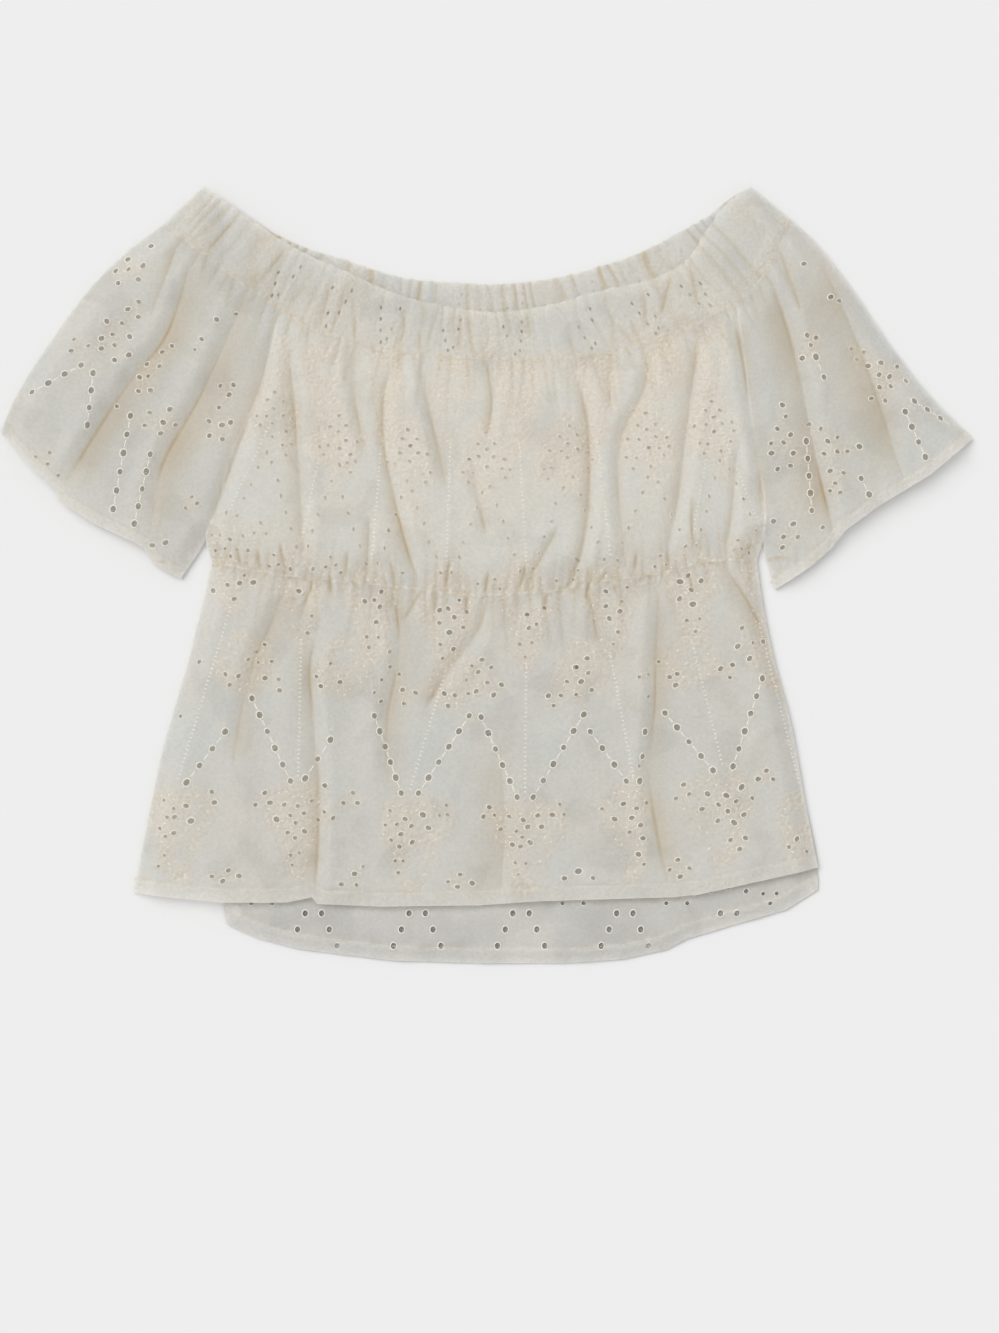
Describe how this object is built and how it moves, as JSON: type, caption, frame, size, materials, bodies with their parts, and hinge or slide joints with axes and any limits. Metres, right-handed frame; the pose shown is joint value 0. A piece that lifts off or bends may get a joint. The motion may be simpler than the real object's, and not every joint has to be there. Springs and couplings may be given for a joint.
{
  "type": "off-shoulder blouse laid flat",
  "caption": "Off-shoulder eyelet cotton blouse laid flat: gathered neck casing, wide short sleeves, bodice gathered at a waist seam and a flared peplum.",
  "frame": {"origin": "on the surface that the blouse lies on, under the centre of its bounding box", "axes": "+X towards the sleeve on the right as seen from above, +Y towards the neck, +Z away from the surface"},
  "size_m": [0.7295, 0.5836, 0.013],
  "materials": {
    "casing_cloth": "gathered off-white cotton voile, matt",
    "front_cloth": "off-white cotton voile with cream eyelet embroidery, matt and slightly sheer",
    "back_cloth": "off-white cotton voile with cream eyelet embroidery, matt and slightly sheer"
  },
  "bodies": {
    "root": {"neck_casing_front": "casing_cloth", "neck_casing_back": "casing_cloth", "bodice_front": "front_cloth", "peplum_front": "front_cloth", "sleeve_left_front": "front_cloth", "sleeve_right_front": "front_cloth", "bodice_back": "back_cloth", "peplum_back": "back_cloth", "sleeve_left_back": "back_cloth", "sleeve_right_back": "back_cloth"}
  },
  "joints": []
}
